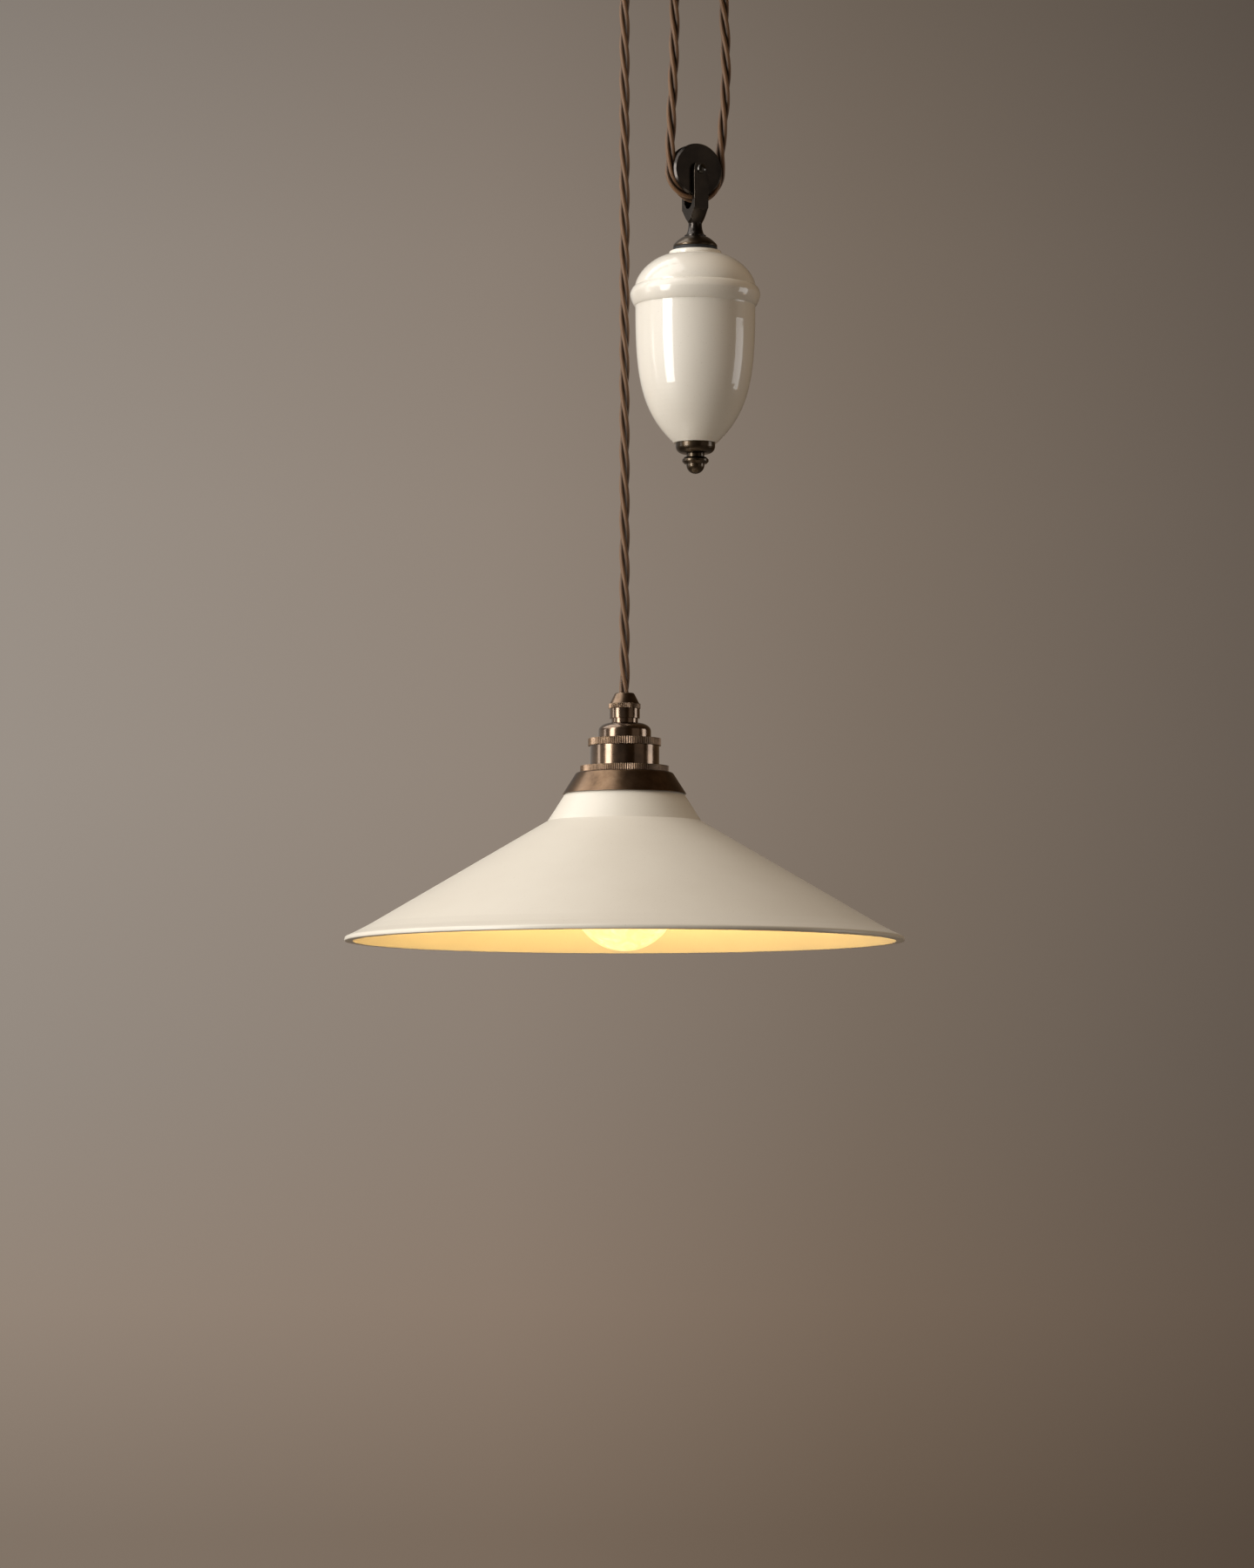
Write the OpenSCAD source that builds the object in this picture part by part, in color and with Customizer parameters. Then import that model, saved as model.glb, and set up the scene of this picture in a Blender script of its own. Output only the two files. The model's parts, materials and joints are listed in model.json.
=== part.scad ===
// Rise and fall pendant: a porcelain cone shade on a twisted flex, balanced by a porcelain
// counterweight that hangs on a pulley in a loop of the same flex.
// The origin is the centre of the ceiling face; everything hangs below it, along -Z.
// The flex runs in the XZ plane. Lengths are in millimetres.

/* [Suspension] */
// Radius of the flex's centre line round both pulleys
pitch_r = 16; // [14.5:0.1:20]
// Overall diameter of the twisted flex
flex_d = 6; // [4:0.1:6.2]
// Diameter of one core of the flex without its braid
core_d = 2.45; // [1.8:0.05:2.6]
// How far the counterweight hangs to the lamp's side of the middle between its strands' tops
weight_lean = 2.8; // [0:0.1:4]
// Drop from the ceiling to the counterweight's axle
weight_axle_drop = 197.5; // [185:0.5:230]
// Drop from the ceiling to the shade's rim
rim_drop = 646; // [600:1:900]

/* [Pulleys] */
// How far a pulley's flanges stop short of the flex's centre line
flange_short = 0.5; // [0:0.1:1.5]
// Width of a pulley
pulley_w = 10; // [8.5:0.1:10.4]
// Clearance round the flex in a pulley's groove
groove_clear = 0.3; // [0.2:0.05:0.5]
// Diameter of an axle
axle_d = 4; // [3:0.1:4.5]
// Outer diameter of a pulley's bush
bush_d = 7; // [6:0.1:9]
// Diameter of an axle's domed heads
axle_head_d = 5.7; // [5.2:0.1:7]
// Radial running clearance of a bush on its axle
running_clear = 0.05; // [0.03:0.01:0.09]

/* [Fork] */
// Width of a fork's arms
arm_w = 9; // [8:0.1:10]
// Thickness of a fork's arms
arm_t = 2.9; // [2:0.1:4]
// Gap between a fork's arms
slot_w = 11; // [10.6:0.1:13]
// Distance from the axle to the bottom of the slot
slot_depth = 22.6; // [21:0.1:26]
// Diameter of the fork's waist
waist_d = 7.8; // [7:0.1:9]
// Distance from the axle to the waist
waist_depth = 31; // [29:0.1:34]
// Diameter of the fork's foot
foot_d = 12.6; // [11:0.1:15]
// Distance from the axle to the fork's foot
foot_depth = 38.7; // [37:0.1:42]
// Diameter of the ogee cap under the fork
fork_cap_d = 25.6; // [22:0.1:29]
// Height of the ogee cap
fork_cap_h = 6.3; // [5:0.1:8]
// Thickness of the black washer under the cap
fork_washer_t = 2; // [0.5:0.1:3]

/* [Ceiling fitting] */
// Diameter of the rose cover at the ceiling
rose_d = 112; // [100:1:130]
// Depth of the rose cover
rose_h = 34; // [30:1:45]
// Wall of the rose cover
rose_wall = 1.6; // [1:0.1:2.5]
// Width of the bracket's strap
strap_w = 22; // [18:1:30]
// Thickness of the bracket's strap
strap_t = 2; // [1.5:0.1:3]
// Distance between the centres of the bracket's slots
slot_spacing = 60.3; // [56:0.1:66]
// Width of the bracket's slots
strap_slot_w = 4.6; // [4:0.1:5.5]
// Length of the bracket's slots, end to end
strap_slot_l = 12; // [8:0.5:14]
// Drop of the bracket's tabs
tab_h = 15; // [12:0.5:18]
// Width of the bracket's tabs
tab_w = 14; // [10:1:16]
// Diameter of the rose's side screws
side_screw_d = 4; // [3:0.5:5]
// Diameter of the top fork's threaded stem
stem_d = 8; // [6:0.5:10]

/* [Cord grips] */
// Diameter of a cord grip's body
grip_d = 17.5; // [16:0.1:20]
// Height of a cord grip's body
grip_h = 5.6; // [5:0.1:10]
// Height of a clamp nut's knurled band
grip_knurl_h = 2.8; // [2:0.1:4]
// Height of a clamp nut's tapered top
grip_taper_h = 6.2; // [5:0.1:9]
// Diameter at the top of a clamp nut
grip_top_d = 10.9; // [10:0.1:12]
// Diameter of a clamp nut's mouth
grip_mouth_d = 8.4; // [7:0.1:9]

/* [Lampholder] */
// Diameter of the dome on the lampholder's cap
holder_cap_d = 30.4; // [28:0.1:34]
// Diameter of the lampholder's body
holder_d = 39.8; // [39.5:0.1:40.6]
// Wall of the lampholder's body
holder_wall = 1.3; // [1:0.1:1.6]
// Diameter of the upper knurled collar
collar_d = 41.8; // [41:0.1:44]
// Height of the upper knurled collar
collar_h = 4.2; // [3:0.1:6]
// Diameter of the outer shade ring
shade_ring_d = 50.8; // [47:0.1:54]
// Height of the outer shade ring
shade_ring_h = 3.6; // [3:0.1:6]
// Radial clearance of parts that screw or slide together
fit = 0.2; // [0.1:0.05:0.3]

/* [Shade] */
// Diameter of the shade's rim
shade_d = 320; // [260:1:400]
// Diameter of the crease between the shade's neck and its cone
crease_d = 88.2; // [80:0.1:100]
// Height of the crease above the rim
crease_h = 68.9; // [55:0.1:90]
// Diameter of the neck at the gallery's edge
neck_d = 68.2; // [64:0.1:74]
// Height of the gallery's edge above the rim
neck_h = 84.6; // [78:0.1:100]
// Wall of the shade, measured square to its surface
shade_wall = 3.3; // [2.5:0.1:4.5]
// Wall of the gallery
gallery_wall = 0.8; // [0.6:0.05:1]
// Height of the gallery
gallery_h = 12.3; // [11:0.1:15]

/* [Bulb] */
// Diameter of the bulb's globe
bulb_d = 60; // [45:1:60]
// Length of the bulb, from its globe's end to its contact
bulb_l = 107; // [100:1:110]
// How far the bulb's globe reaches below the rim
bulb_below = 5.4; // [-10:0.1:12]

/* [Counterweight] */
// Greatest diameter of the counterweight's shell, over its bead
weight_d = 75.5; // [72:0.1:80]
// Height of the bead above the shell's bottom
bead_h = 86.5; // [80:0.1:95]
// Diameter of the body under the bead
weight_body_d = 69.6; // [64:0.1:71]
// Diameter of the shell's flat seat under the washer
weight_seat_d = 30.4; // [28:0.1:34]
// Height of the shell
weight_h = 112; // [105:0.1:125]
// Diameter of the shell's bottom
weight_foot_d = 25; // [23:0.1:30]
// Wall of the counterweight's shell
weight_wall = 4; // [3:0.1:5]
// Empty height left over the ballast
fill_top = 2; // [1:0.5:20]
// Diameter of the tie rod
tie_d = 5; // [4:0.5:6]
// Diameter of the bottom cup
cup_d = 23; // [20:0.1:24]
// Height of the bottom cup
cup_h = 6.3; // [6:0.1:8]
// Diameter of the finial's ring
finial_ring_d = 15.4; // [13:0.1:18]
// Diameter of the finial's dome and neck
finial_d = 10.6; // [9:0.1:12]

/* [Hidden] */

$fn = 96;
eps = 0.01;

// Colours
brass = [0.55, 0.42, 0.28];
dark_bronze = [0.14, 0.11, 0.09];
steel = [0.72, 0.73, 0.75];
porcelain = [0.93, 0.90, 0.83];
rubber_black = [0.06, 0.06, 0.06];
flex_brown = [0.36, 0.24, 0.16];
lead_grey = [0.35, 0.36, 0.38];

// Places of the strands and axles
middle_x = -pitch_r / 2;
top_x = middle_x - pitch_r;
lamp_x = top_x - pitch_r;
anchor_x = middle_x + 2 * pitch_r;
weight_x = middle_x + pitch_r - weight_lean;
pulley_d = 2 * (pitch_r - flange_short);
fork_seat = foot_depth + fork_cap_h + fork_washer_t;
top_z = -rose_h - fork_seat;
weight_z = -weight_axle_drop;
rim_z = -rim_drop;

// Fits: a static gap between faces that meet, and a small one between threads
gap = 0.02;
thread_gap = 0.05;

// Cord grip, measured from the foot of its body
grip_undercut_h = 2.6;
grip_undercut_d = 15.4;
grip_spigot_d = 9.8;
grip_spigot_l = 6;
grip_bore_d = 6.4;
grip_stub_d = 12.8;
grip_stub_l = 4.6;
grip_socket_d = 9.2;
grip_socket_l = 2.4;
grip_nut_z = grip_undercut_h + grip_h;
grip_l = grip_nut_z + grip_knurl_h + grip_taper_h;
grip_teeth = 60;

// Lampholder heights above the rim
grip_foot = 125.3;
collar_top = 116.3;
collar_foot = collar_top - collar_h;
ring_foot = neck_h + gallery_h;
holder_foot = 72;
collar_teeth = 98;
shade_ring_teeth = 124;
tooth_h = 0.45;

// Sides of the swept tubes: the flex, and the tail of one core
tube_sides = 10;
tail_sides = 8;

function arc(cx, cz, r, a0, a1, n) =
    [for (i = [0 : n]) [cx + r * cos(a0 + (a1 - a0) * i / n), cz + r * sin(a0 + (a1 - a0) * i / n)]];

// A quarter wave between two points, upright where it starts and flat where it ends
function cove(r0, z0, r1, z1, n) =
    [for (i = [0 : n]) [r0 + (r1 - r0) * (1 - cos(90 * i / n)), z0 + (z1 - z0) * sin(90 * i / n)]];

module turned(points) {
    rotate_extrude() polygon(points);
}

module ring(outer_d, inner_d, h) {
    difference() {
        cylinder(d = outer_d, h = h);
        translate([0, 0, -eps]) cylinder(d = inner_d, h = h + 2 * eps);
    }
}

// A ring with fine upright teeth, d over the teeth
module knurled(d, bore, h, teeth) {
    difference() {
        linear_extrude(height = h) polygon([
            for (i = [0 : 2 * teeth - 1])
                let (r = d / 2 - (i % 2 == 0 ? 0 : tooth_h), a = 180 * i / teeth)
                    [r * cos(a), r * sin(a)]
        ]);
        translate([0, 0, -eps]) cylinder(d = bore, h = h + 2 * eps);
    }
}

module hex_nut(across, bore, h) {
    difference() {
        cylinder(d = across / cos(30), h = h, $fn = 6);
        translate([0, 0, -eps]) cylinder(d = bore, h = h + 2 * eps);
    }
}

// ---- Swept tubes of the flex -------------------------------------------------------------

function unit(v) = v / norm(v);

// Direction of a route at point i; first and last are its directions at its ends
function heading(route, i, first, last) =
    let (n = len(route) - 1)
        i == 0 ? first
        : i == n ? last
        : unit(unit(route[i] - route[i - 1]) + unit(route[i + 1] - route[i]));

// Rings square to the route; side is a direction that the route never follows
function tube_points(route, d, sides, side, first, last) = [
    for (i = [0 : len(route) - 1])
        let (t = heading(route, i, first, last), u = unit(cross(t, side)), v = cross(u, t))
            for (k = [0 : sides - 1])
                let (a = 360 * k / sides) route[i] + d / 2 * (cos(a) * u + sin(a) * v)
];

function tube_faces(rings, sides) = concat(
    [for (i = [0 : rings - 2], k = [0 : sides - 1])
        let (a = i * sides + k, b = i * sides + (k + 1) % sides) [a, a + sides, b]],
    [for (i = [0 : rings - 2], k = [0 : sides - 1])
        let (a = i * sides + k, b = i * sides + (k + 1) % sides) [b, a + sides, b + sides]],
    [for (k = [1 : sides - 2]) [0, k, k + 1]],
    [for (k = [1 : sides - 2])
        let (e = (rings - 1) * sides) [e, e + k + 1, e + k]]
);

up = [0, 0, 1];
down = [0, 0, -1];

module tube(route, d, sides, first, last, side = [0, 1, 0]) {
    polyhedron(points = tube_points(route, d, sides, side, first, last),
        faces = tube_faces(len(route), sides));
}

// Points of a half turn of the flex about an axle, from one strand to the next
wrap_steps = 12;
function half_turn(cx, cz, over) = [
    for (i = [0 : wrap_steps])
        let (a = 180 * i / wrap_steps)
            [cx - pitch_r * cos(a), 0, cz + (over ? 1 : -1) * pitch_r * sin(a)]
];

// The two strands of the counterweight lean towards the lamp below this height
lean_from = -109;
function leant(z) =
    let (t = max(0, lean_from - z) / (lean_from - weight_z))
        -weight_lean * (1 - cos(180 * t)) / 2;

// Routes of the free strands, chosen by hand
anchor_grip_mouth = -rose_h - grip_l;
grip_inside = 9;
anchor_start = anchor_grip_mouth + grip_inside;
lamp_end = rim_z + grip_foot + grip_l - grip_inside;
anchor_bow = [
    [0, -74], [-0.3, -94], [0.5, -112], [1.4, -129], [2, -146], [1.7, -162], [0.8, -176], [0.2, -188]
];
lamp_rings = [-100, -130, -160, -200, -240, -280, -320, -360, -400, -440, -475, -500];
weight_rings = [-97, -112, -126, -138, -150, -162, -174, -186];

lamp_route = concat([[lamp_x, 0, top_z]], [for (z = lamp_rings) [lamp_x, 0, z]], [[lamp_x, 0, lamp_end]]);
weight_route = concat(
    [[middle_x, 0, top_z]], [for (z = weight_rings) [middle_x + leant(z), 0, z]],
    [[weight_x - pitch_r, 0, weight_z]]);
anchor_route = concat(
    [[anchor_x, 0, anchor_start], [anchor_x, 0, anchor_grip_mouth - flex_d]],
    [for (p = anchor_bow) [anchor_x + p[0] + leant(p[1]), 0, p[1]]],
    [[weight_x + pitch_r, 0, weight_z]]);

// ---- Pulleys, forks and grips, used twice ------------------------------------------------

flange_bevel_r = 1;
flange_bevel_w = 1.3;
groove_r = flex_d / 2 + groove_clear;

module pulley() {
    half = pulley_w / 2;
    flange_r = pulley_d / 2;
    mouth_a = acos(-flange_short / groove_r);
    turned(concat(
        [[bush_d / 2 + gap, -half], [flange_r - flange_bevel_r, -half], [flange_r, -half + flange_bevel_w]],
        arc(pitch_r, 0, groove_r, -mouth_a, mouth_a - 360, 16),
        [[flange_r, half - flange_bevel_w], [flange_r - flange_bevel_r, half], [bush_d / 2 + gap, half]]
    ));
}

bush_proud = 0.2;

module bush() {
    translate([0, 0, -pulley_w / 2 - bush_proud])
        ring(bush_d, axle_d + 2 * running_clear, pulley_w + 2 * bush_proud);
}

// Everything that turns or sits on an axle is drawn along Z and laid along Y
module on_axle(x, z) {
    translate([x, 0, z]) rotate([90, 0, 0]) children();
}

module axle() {
    half = slot_w / 2 + arm_t;
    head_h = 2;
    cylinder(d = axle_d, h = 2 * half + 2 * eps, center = true);
    for (s = [0, 1]) mirror([0, 0, s]) translate([0, 0, half + gap])
        turned(concat([[0, -gap - eps], [axle_d / 2, -gap - eps], [axle_d / 2, 0]],
            [for (p = arc(0, 0, 1, 0, 90, 8)) [p[0] * axle_head_d / 2, p[1] * head_h]]));
}

arm_hole_d = axle_d + 2 * gap;
tie_hole_l = 4.2;

// A fork with its axle at the origin and its foot below it
module fork() {
    span = slot_w + 2 * arm_t;
    bevel = 1.2;
    web = 1;
    shoulder_z = -slot_depth - web;
    steps = 10;
    hollow = 1.15;
    foot_edge = 0.8;
    difference() {
        union() {
            // arms with round tops
            intersection() {
                union() {
                    rotate([90, 0, 0]) cylinder(d = arm_w, h = span, center = true);
                    translate([-arm_w / 2, -span / 2, shoulder_z]) cube([arm_w, span, -shoulder_z]);
                }
                turned([[0, shoulder_z], [span / 2, shoulder_z], [span / 2 + bevel, shoulder_z + bevel],
                    [span / 2 + bevel, arm_w], [0, arm_w]]);
            }
            // shoulders that draw in to the waist
            intersection() {
                turned(concat([[0, shoulder_z]],
                    [for (i = [0 : steps])
                        let (t = i / steps)
                            [waist_d / 2 + (span - waist_d) / 2 * pow(1 - t, hollow),
                             shoulder_z - (waist_depth + shoulder_z) * t]],
                    [[0, -waist_depth]]));
                translate([-arm_w / 2, -span, -waist_depth - eps])
                    cube([arm_w, 2 * span, waist_depth]);
            }
            // foot that flares from the waist
            turned(concat([[0, -waist_depth + eps], [waist_d / 2, -waist_depth + eps]],
                cove(waist_d / 2, -waist_depth, foot_d / 2, -foot_depth + foot_edge, 12),
                [[foot_d / 2, -foot_depth], [0, -foot_depth]]));
        }
        // slot with a round bottom
        translate([0, 0, -slot_depth + slot_w / 2]) {
            rotate([0, 90, 0]) cylinder(d = slot_w, h = 2 * arm_w, center = true);
            translate([-arm_w, -slot_w / 2, 0]) cube([2 * arm_w, slot_w, slot_depth + arm_w]);
        }
        rotate([90, 0, 0]) cylinder(d = arm_hole_d, h = 2 * span, center = true);
    }
}

module fork_cap(bore) {
    rim_h = 1.2;
    lip = 0.4;
    full = 1.25;
    crown_r = foot_d / 2 + 0.3;
    translate([0, 0, -foot_depth - fork_cap_h]) turned(concat(
        [[bore / 2, 0], [fork_cap_d / 2 - lip, 0], [fork_cap_d / 2, lip]],
        reversed(bulge(crown_r, rim_h, fork_cap_d / 2, fork_cap_h - gap, full, 12)),
        [[bore / 2, fork_cap_h - gap]]));
}

module fork_washer(bore) {
    translate([0, 0, -fork_seat + gap]) ring(fork_cap_d, bore, fork_washer_t - 2 * gap);
}

// A cord grip's body, standing on z = 0
module grip_body(spigot_l) {
    turned([
        [grip_bore_d / 2, -spigot_l], [grip_spigot_d / 2, -spigot_l], [grip_spigot_d / 2, gap],
        [grip_undercut_d / 2, gap], [grip_undercut_d / 2, grip_undercut_h],
        [grip_d / 2, grip_undercut_h], [grip_d / 2, grip_nut_z - gap],
        [grip_stub_d / 2, grip_nut_z - gap], [grip_stub_d / 2, grip_nut_z + grip_stub_l],
        [grip_socket_d / 2, grip_nut_z + grip_stub_l], [grip_socket_d / 2, grip_nut_z - grip_socket_l],
        [grip_bore_d / 2, grip_nut_z - grip_socket_l]
    ]);
}

module grip_nut() {
    skirt_d = grip_stub_d + 2 * thread_gap;
    knurl_d = grip_d + 0.8;
    cone_foot_d = grip_d - 0.3;
    lip = 0.6;
    mouth_h = 1.2;
    throat_h = 3.2;
    translate([0, 0, grip_nut_z])
        knurled(knurl_d, skirt_d, grip_knurl_h, grip_teeth);
    translate([0, 0, grip_nut_z + grip_knurl_h - eps]) turned([
        [skirt_d / 2, 0], [cone_foot_d / 2, 0], [grip_top_d / 2 + lip / 2, grip_taper_h - lip],
        [grip_top_d / 2 - lip / 2, grip_taper_h], [grip_mouth_d / 2, grip_taper_h],
        [grip_mouth_d / 2, grip_taper_h - mouth_h], [skirt_d / 2, grip_taper_h - throat_h]
    ]);
}

module grip_insert() {
    bore = flex_d + 2 * gap;
    d = grip_socket_d - 2 * gap;
    sunk = 2.4;
    chamfer_h = 1.4;
    chamfer_w = 0.5;
    top = grip_knurl_h + grip_taper_h - sunk;
    translate([0, 0, grip_nut_z]) turned([
        [bore / 2, -grip_socket_l + gap], [d / 2, -grip_socket_l + gap], [d / 2, top - chamfer_h],
        [grip_mouth_d / 2 - chamfer_w, top], [bore / 2, top]
    ]);
}

module at_top_fork() {
    translate([top_x, 0, top_z]) mirror([0, 0, 1]) children();
}

module at_weight() {
    translate([weight_x, 0, weight_z]) children();
}

module at_anchor() {
    translate([anchor_x, 0, -rose_h]) mirror([0, 0, 1]) children();
}

module at_lamp() {
    translate([lamp_x, 0, rim_z]) children();
}

// ---- Ceiling fitting ---------------------------------------------------------------------

rose_flange_w = 3;
rose_flange_h = 3;
rose_shoulder_r = 12;
rose_inner_d = rose_d - 2 * rose_flange_w - 2 * rose_wall;
// the strap's corners and its tabs stay just inside the cover
strap_play = 0.3;
tab_y = sqrt(pow(rose_inner_d / 2, 2) - pow(max(tab_w, strap_w) / 2, 2)) - strap_play;
side_screw_z = -9;
grip_hole_d = grip_spigot_d + 2 * fit;
stem_hole_d = stem_d + 2 * fit;
anchor_spigot_l = 8;
locknut_h = 4;
stem_l = 11;
strap_skin = 0.4;

module ceiling_bracket() {
    color(steel) difference() {
        union() {
            translate([-strap_w / 2, -tab_y, -strap_t]) cube([strap_w, 2 * tab_y, strap_t]);
            for (s = [-1, 1])
                translate([-tab_w / 2, s * (tab_y - strap_t / 2) - strap_t / 2, -tab_h])
                    cube([tab_w, strap_t, tab_h]);
        }
        // slots for the ceiling screws
        for (s = [-1, 1]) translate([0, s * slot_spacing / 2, -strap_t - eps]) {
            straight = strap_slot_l - strap_slot_w;
            for (t = [-1, 1]) translate([0, t * straight / 2, 0])
                cylinder(d = strap_slot_w, h = strap_t + 2 * eps);
            translate([-strap_slot_w / 2, -straight / 2, 0])
                cube([strap_slot_w, straight, strap_t + 2 * eps]);
        }
        // threaded holes for the side screws
        translate([0, 0, side_screw_z]) rotate([90, 0, 0])
            cylinder(d = side_screw_d + 2 * thread_gap, h = rose_d, center = true);
        // threaded hole for the terminal block's screw
        translate([0, pole_pitch / 2, -strap_t - eps])
            cylinder(d = block_screw_d + 2 * thread_gap, h = strap_t - strap_skin + eps);
    }
}

module rose_cover() {
    edge = 1;
    side_r = rose_d / 2 - rose_flange_w;
    shoulder_z = -rose_h + rose_shoulder_r;
    color(brass) difference() {
        turned(concat(
            [[rose_d / 2, 0], [rose_d / 2, -rose_flange_h + edge], [rose_d / 2 - edge, -rose_flange_h],
             [side_r, -rose_flange_h]],
            arc(side_r - rose_shoulder_r, shoulder_z, rose_shoulder_r, 0, -90, 16),
            [[0, -rose_h], [0, -rose_h + rose_wall]],
            arc(side_r - rose_shoulder_r, shoulder_z, rose_shoulder_r - rose_wall, -90, 0, 16),
            [[side_r - rose_wall, 0]]
        ));
        translate([top_x, 0, -rose_h - eps]) cylinder(d = stem_hole_d, h = rose_wall + 2 * eps);
        translate([anchor_x, 0, -rose_h - eps]) cylinder(d = grip_hole_d, h = rose_wall + 2 * eps);
        translate([0, 0, side_screw_z]) rotate([90, 0, 0])
            cylinder(d = side_screw_d + 2 * fit, h = 2 * rose_d, center = true);
    }
}

module rose_screws() {
    head_d = 7.5;
    head_h = 2.4;
    head_side = 0.8;
    past_tab = 2;
    side_y = rose_d / 2 - rose_flange_w;
    screw_l = side_y + 2 * fit - tab_y + strap_t + past_tab;
    color(brass) for (s = [-1, 1])
        translate([0, s * (side_y + 2 * fit), side_screw_z]) rotate([-s * 90, 0, 0]) {
            turned(concat([[0, 0], [head_d / 2, 0]],
                [for (p = arc(0, 0, 1, 0, 90, 8))
                    [p[0] * head_d / 2, head_side + p[1] * (head_h - head_side)]]));
            translate([0, 0, -screw_l]) cylinder(d = side_screw_d, h = screw_l + eps);
        }
}

// Terminal block: three poles along Y
block_l = 32;
block_w = 18;
block_h = 14;
block_base_h = 10;
pole_pitch = 12;
pole_w = 7.6;
insert_d = 5.6;
insert_drop = 8;
insert_z = -strap_t - insert_drop;
insert_bore = 3.4;
insert_l = block_w - 2;
clamp_d = 3;
clamp_x = 4.5;
clamp_well = 1;
block_screw_d = 2.6;

module terminal_block() {
    color([0.9, 0.89, 0.85]) difference() {
        union() {
            translate([-block_w / 2, -block_l / 2, -strap_t - gap - block_base_h])
                cube([block_w, block_l, block_base_h]);
            for (i = [-1 : 1])
                translate([-block_w / 2, i * pole_pitch - pole_w / 2, -strap_t - gap - block_h])
                    cube([block_w, pole_w, block_h]);
        }
        for (i = [-1 : 1]) translate([0, i * pole_pitch, insert_z]) {
            rotate([0, 90, 0]) cylinder(d = insert_d + 2 * gap, h = block_w + 2 * eps, center = true);
            for (s = [-1, 1]) translate([s * clamp_x, 0, -block_h])
                cylinder(d = clamp_d + clamp_well, h = block_h);
        }
        translate([0, pole_pitch / 2, -strap_t - block_h])
            cylinder(d = block_screw_d + 2 * fit, h = block_h + eps);
    }
}

module terminal_inserts() {
    color(brass) for (i = [-1 : 1]) translate([0, i * pole_pitch, insert_z]) difference() {
        rotate([0, 90, 0]) cylinder(d = insert_d, h = insert_l, center = true);
        rotate([0, 90, 0]) cylinder(d = insert_bore, h = insert_l + 2 * eps, center = true);
        for (s = [-1, 1]) translate([s * clamp_x, 0, -insert_d])
            cylinder(d = clamp_d + 2 * gap, h = insert_d);
    }
}

module terminal_screws() {
    slot_t = 0.6;
    slot_h = 0.8;
    proud = 1.8;
    // each screw's tip stops short of the core in its insert
    tip_gap = 0.1;
    screw_l = insert_d / 2 + proud - core_d / 2 - tip_gap;
    color(steel) for (i = [-1 : 1], s = [-1, 1])
        translate([s * clamp_x, i * pole_pitch, insert_z - insert_d / 2 - proud]) difference() {
            cylinder(d = clamp_d, h = screw_l);
            translate([-clamp_d, -slot_t / 2, -eps]) cube([2 * clamp_d, slot_t, slot_h + eps]);
        }
}

module block_screw() {
    head_d = 4;
    head_h = 1.6;
    foot = -strap_t - block_base_h;
    screw_l = block_base_h + strap_t - strap_skin;
    color(steel) translate([0, pole_pitch / 2, foot - gap]) {
        translate([0, 0, -head_h]) cylinder(d = head_d, h = head_h);
        translate([0, 0, -eps]) cylinder(d = block_screw_d, h = screw_l);
    }
}

module top_fork() {
    stem_foot = fork_seat + stem_l;
    color(dark_bronze) at_top_fork() {
        fork();
        translate([0, 0, -stem_foot]) cylinder(d = stem_d, h = stem_foot - foot_depth + eps);
    }
}

module top_fork_cap() {
    color(brass) at_top_fork() fork_cap(stem_d + 2 * fit);
}

module top_fork_washer() {
    color(rubber_black) at_top_fork() fork_washer(stem_d + 2 * fit);
}

module top_fork_nut() {
    across = 13;
    nut_h = 5;
    color(steel) translate([top_x, 0, -rose_h + rose_wall + gap])
        hex_nut(across, stem_d + 2 * thread_gap, nut_h);
}

module top_axle() {
    color(dark_bronze) on_axle(top_x, top_z) axle();
}

module anchor_grip_body() {
    color(brass) at_anchor() grip_body(anchor_spigot_l);
}

module anchor_grip_nut() {
    color(brass) at_anchor() grip_nut();
}

module anchor_grip_insert() {
    color(rubber_black) at_anchor() grip_insert();
}

module anchor_locknut() {
    across = 14;
    color(steel) translate([anchor_x, 0, -rose_h + rose_wall + gap])
        hex_nut(across, grip_spigot_d + 2 * thread_gap, locknut_h);
}

// Tails of the three cores, from the anchor grip to the terminal block
core_ring_r = core_d / sqrt(3) + 0.06;

function tail_route(a, pole) =
    let (x = anchor_x + core_ring_r * cos(a), y = core_ring_r * sin(a),
         end_y = pole * pole_pitch, out = -rose_h + anchor_spigot_l)
    [
        [x, y, anchor_start + gap],
        [x, y, out - 4],
        [x, y, out + 0.5],
        [x - 0.8, y + (end_y - y) * 0.12, out + 5],
        [x - 3.5, y + (end_y - y) * 0.4, out + 10],
        [block_w / 2 + 5.5, y + (end_y - y) * 0.85, insert_z - 1],
        [block_w / 2 + 2, end_y, insert_z],
        [insert_l / 2 - 4.5, end_y, insert_z]
    ];

module tail(a, pole) {
    tube(tail_route(a, pole), core_d, tail_sides, up, [-1, 0, 0], [0.02, 0.9, 0.4]);
}

module tail_live() {
    color([0.35, 0.2, 0.1]) tail(-60, -1);
}

module tail_neutral() {
    color([0.1, 0.25, 0.6]) tail(180, 0);
}

module tail_earth() {
    color([0.35, 0.55, 0.15]) tail(60, 1);
}

module flex_top_wrap() {
    color(flex_brown) tube(half_turn(top_x, top_z, true), flex_d, tube_sides, up, down);
}

module top_pulley() {
    color(dark_bronze) on_axle(top_x, top_z) pulley();
}

module top_pulley_bush() {
    color(brass) on_axle(top_x, top_z) bush();
}

// ---- Counterweight, from the axle down ---------------------------------------------------

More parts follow.
